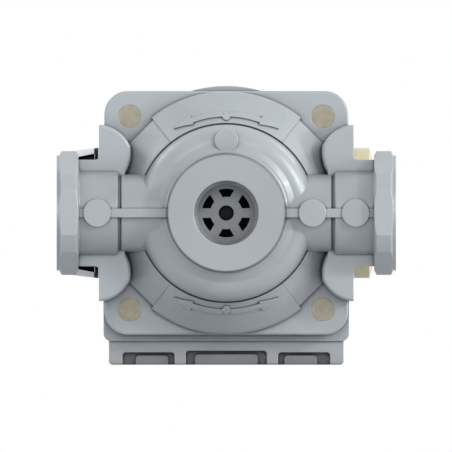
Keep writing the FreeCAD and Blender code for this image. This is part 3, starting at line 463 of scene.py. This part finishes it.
def new_piece(name, vertices, faces, material, smooth_angle=40.0):
    """A closed mesh fixed to the valve, with edges sharper than the angle kept crisp."""
    mesh = bpy.data.meshes.new(name)
    mesh.from_pydata(vertices, [], faces)
    mesh.materials.append(material)
    mesh.validate()
    piece = bpy.data.objects.new(name, mesh)
    bpy.context.scene.collection.objects.link(piece)
    mesh.shade_smooth()
    mesh.set_sharp_from_angle(angle=math.radians(smooth_angle))
    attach(piece, "valve")
    make_outward(mesh)


def make_outward(mesh):
    """Turn all faces of a closed mesh outward."""
    work = bmesh.new()
    work.from_mesh(mesh)
    bmesh.ops.recalc_face_normals(work, faces=work.faces)
    work.to_mesh(mesh)
    work.free()


def add_thread(name, mount, material):
    """The helical ridge of a female thread, from the mount's own place, radius and length."""
    centre = Vector(mount["pos_m"])
    axis = Vector(mount["axis"]).normalized()
    side = axis.orthogonal().normalized()
    up = axis.cross(side)
    wall = mount["dims"]["r_mm"] * MM
    run = mount["dims"]["length_mm"] * MM - THREAD_PITCH
    profile = [(-THREAD_HALF_BASE, -THREAD_SINK), (-THREAD_HALF_CREST, THREAD_DEPTH),
               (THREAD_HALF_CREST, THREAD_DEPTH), (THREAD_HALF_BASE, -THREAD_SINK)]
    steps = int(run / THREAD_PITCH * THREAD_STEPS)
    fade = THREAD_STEPS // 3
    vertices = []
    for step in range(steps + 1):
        angle = 2 * math.pi * step / THREAD_STEPS
        out = math.cos(angle) * side + math.sin(angle) * up
        along = run / 2 - THREAD_PITCH * step / THREAD_STEPS
        full = min(1.0, step / fade, (steps - step) / fade)
        for offset, height in profile:
            rise = height * full if height > 0 else height
            vertices.append(centre + out * (wall - rise) + axis * (along + offset))
    count = len(profile)
    faces = []
    for step in range(steps):
        for corner in range(count):
            following = (corner + 1) % count
            low = step * count
            high = low + count
            faces.append((low + corner, high + corner, high + following, low + following))
    last = steps * count
    faces.append(tuple(range(count)))
    faces.append(tuple(last + corner for corner in reversed(range(count))))
    new_piece(name, vertices, faces, material, 30.0)


def on_cone(radius, angle, rise, up):
    """A point above the cone of a sector: angle is measured from straight up or down."""
    lift = rise * math.sqrt(0.5)
    depth = EXHAUST_FACE + SECTOR_FOOT_DEPTH + (radius - SECTOR_FOOT_RADIUS) - lift
    reach = radius + lift
    return Vector((reach * math.sin(angle), depth, AXIS_HEIGHT + up * reach * math.cos(angle)))


def raised_plate(rows):
    """A closed plate on the cone from rows of (radius, angle) pairs with equally many points each."""
    count = len(rows[0])
    top = [pair for row in rows for pair in row]
    vertices = [(radius, angle, ARROW_RISE) for radius, angle in top]
    vertices += [(radius, angle, -ARROW_SINK) for radius, angle in top]
    under = len(top)
    faces = []
    for row in range(len(rows) - 1):
        for place in range(count - 1):
            corner = row * count + place
            quad = (corner, corner + 1, corner + count + 1, corner + count)
            faces.append(quad)
            faces.append(tuple(under + index for index in reversed(quad)))
    rim = list(range(count))
    rim += [row * count + count - 1 for row in range(1, len(rows))]
    rim += [(len(rows) - 1) * count + place for place in range(count - 2, -1, -1)]
    rim += [row * count for row in range(len(rows) - 2, 0, -1)]
    for index, corner in enumerate(rim):
        following = rim[(index + 1) % len(rim)]
        faces.append((following, corner, under + corner, under + following))
    return vertices, faces


def plate_row(inner, outer, angle):
    """Points across an arrow at one angle."""
    return [(inner + (outer - inner) * k / ARROW_ACROSS, angle) for k in range(ARROW_ACROSS + 1)]


def add_arrow(name, up, side, material):
    """Half of a flow arrow: a curved shaft that ends in a pointed head."""
    shaft = []
    for step in range(SHAFT_STEPS + 1):
        angle = SHAFT_START + (SHAFT_END - SHAFT_START) * step / SHAFT_STEPS
        shaft.append(plate_row(SHAFT_INNER, SHAFT_OUTER, angle * side))
    head = []
    for step in range(HEAD_STEPS + 1):
        share = step / HEAD_STEPS * HEAD_TAPER
        angle = SHAFT_END + (HEAD_TIP - SHAFT_END) * share
        inner = HEAD_INNER + (HEAD_TIP_RADIUS - HEAD_INNER) * share
        outer = HEAD_OUTER + (HEAD_TIP_RADIUS - HEAD_OUTER) * share
        head.append(plate_row(inner, outer, angle * side))
    vertices = []
    faces = []
    for plate in (shaft, head):
        points, sides = raised_plate(plate)
        start = len(vertices)
        vertices += [on_cone(radius, angle, rise, up) for radius, angle, rise in points]
        faces += [tuple(start + index for index in face) for face in sides]
    new_piece(name, vertices, faces, material)


def add_nib(name, up, material):
    """Small round nib between the two shafts of an arrow."""
    vertices = []
    for rise in (ARROW_RISE, -ARROW_SINK):
        for step in range(NIB_STEPS):
            turn = 2 * math.pi * step / NIB_STEPS
            radius = NIB_PLACE + NIB_RADIUS * math.cos(turn)
            vertices.append(on_cone(radius, NIB_RADIUS * math.sin(turn) / NIB_PLACE, rise, up))
    faces = [tuple(range(NIB_STEPS)), tuple(NIB_STEPS + index for index in reversed(range(NIB_STEPS)))]
    for step in range(NIB_STEPS):
        following = (step + 1) % NIB_STEPS
        faces.append((following, step, NIB_STEPS + step, NIB_STEPS + following))
    new_piece(name, vertices, faces, material)


# Floor, world, lights and camera

def seen_directly(tree):
    """1 for rays from the camera, a reflection or a transmission."""
    path = tree.nodes.new("ShaderNodeLightPath")
    seen = calculate(tree, "MAXIMUM", path.outputs["Is Camera Ray"], path.outputs["Is Glossy Ray"])
    return calculate(tree, "MAXIMUM", seen, path.outputs["Is Transmission Ray"])


def add_floor():
    """A plain pale floor just below the sole."""
    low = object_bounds()[0]
    corners = [(x * FLOOR_HALF, y * FLOOR_HALF, 0) for x, y in ((-1, -1), (1, -1), (1, 1), (-1, 1))]
    mesh = bpy.data.meshes.new("floor")
    mesh.from_pydata(corners, [], [(0, 1, 2, 3)])
    floor = bpy.data.objects.new("floor", mesh)
    floor.location.z = low.z - FLOOR_GAP
    bpy.context.scene.collection.objects.link(floor)
    material, tree, shader = start_material("floor", FLOOR_COLOR, 0.0, 0.9)
    color = mix_colors(tree, seen_directly(tree), FLOOR_COLOR, FLOOR_SEEN)
    tree.links.new(color, shader.inputs["Base Color"])
    mesh.materials.append(material)


def background(tree, color, strength):
    """Even light of one colour."""
    node = tree.nodes.new("ShaderNodeBackground")
    node.inputs["Color"].default_value = (*color, 1.0)
    node.inputs["Strength"].default_value = strength
    return node.outputs["Background"]


def add_world():
    """Soft light from all sides, behind which the camera and reflections see plain white."""
    world = bpy.data.worlds.new("studio")
    world.use_nodes = True
    bpy.context.scene.world = world
    tree = world.node_tree
    tree.nodes.clear()
    output = tree.nodes.new("ShaderNodeOutputWorld")
    mix = tree.nodes.new("ShaderNodeMixShader")
    tree.links.new(seen_directly(tree), mix.inputs["Fac"])
    tree.links.new(background(tree, SKY_COLOR, SKY_STRENGTH), mix.inputs[1])
    tree.links.new(background(tree, (1.0, 1.0, 1.0), 1.0), mix.inputs[2])
    tree.links.new(mix.outputs["Shader"], output.inputs["Surface"])


def add_sun(name, azimuth, elevation, strength, softness):
    """A soft distant light: azimuth 0 stands in front, elevation is above the horizon."""
    lamp = bpy.data.lights.new(name, "SUN")
    lamp.energy = strength
    lamp.angle = math.radians(softness)
    light = bpy.data.objects.new(name, lamp)
    turn = math.radians(azimuth)
    lift = math.radians(elevation)
    towards = Vector((math.sin(turn) * math.cos(lift), -math.cos(turn) * math.cos(lift), math.sin(lift)))
    light.rotation_mode = "QUATERNION"
    light.rotation_quaternion = towards.to_track_quat("Z", "Y")
    bpy.context.scene.collection.objects.link(light)


def add_camera():
    """A straight-on camera that frames the valve as the photo does."""
    data = bpy.data.cameras.new("camera")
    data.type = "ORTHO"
    data.ortho_scale = PHOTO_SIDE * PIXEL
    data.clip_start = 0.01
    data.clip_end = 10.0
    camera = bpy.data.objects.new("camera", data)
    middle = PHOTO_SIDE / 2
    camera.location = (-(PORT_AXIS_COLUMN - middle) * PIXEL, -CAMERA_DISTANCE,
                       AXIS_HEIGHT - (middle - PORT_AXIS_ROW) * PIXEL)
    camera.rotation_euler = (math.radians(90), 0, 0)
    bpy.context.scene.collection.objects.link(camera)
    bpy.context.scene.camera = camera


cast, shaded_threads = dress_nodes()
for port in ("inlet_port", "outlet_port", "exhaust_port"):
    add_thread(port + "_thread", mounts[port], shaded_threads)
for up, level in ((1, "upper"), (-1, "lower")):
    for side, hand in ((-1, "left"), (1, "right")):
        add_arrow("%s_arrow_%s" % (level, hand), up, side, cast)
    add_nib(level + "_arrow_nib", up, cast)
add_floor()
add_world()
add_sun("front_fill", 0, 15, 0.25, 20)
add_sun("right_key", 72, 8, 1.15, 12)
add_sun("left_fill", -78, 8, 0.5, 12)
add_sun("right_half", 48, 22, 0.8, 8)
add_sun("right_rim", 115, 40, 0.35, 20)
add_sun("left_rim", -115, 40, 0.35, 20)
add_camera()
bpy.context.scene.view_settings.view_transform = "Standard"
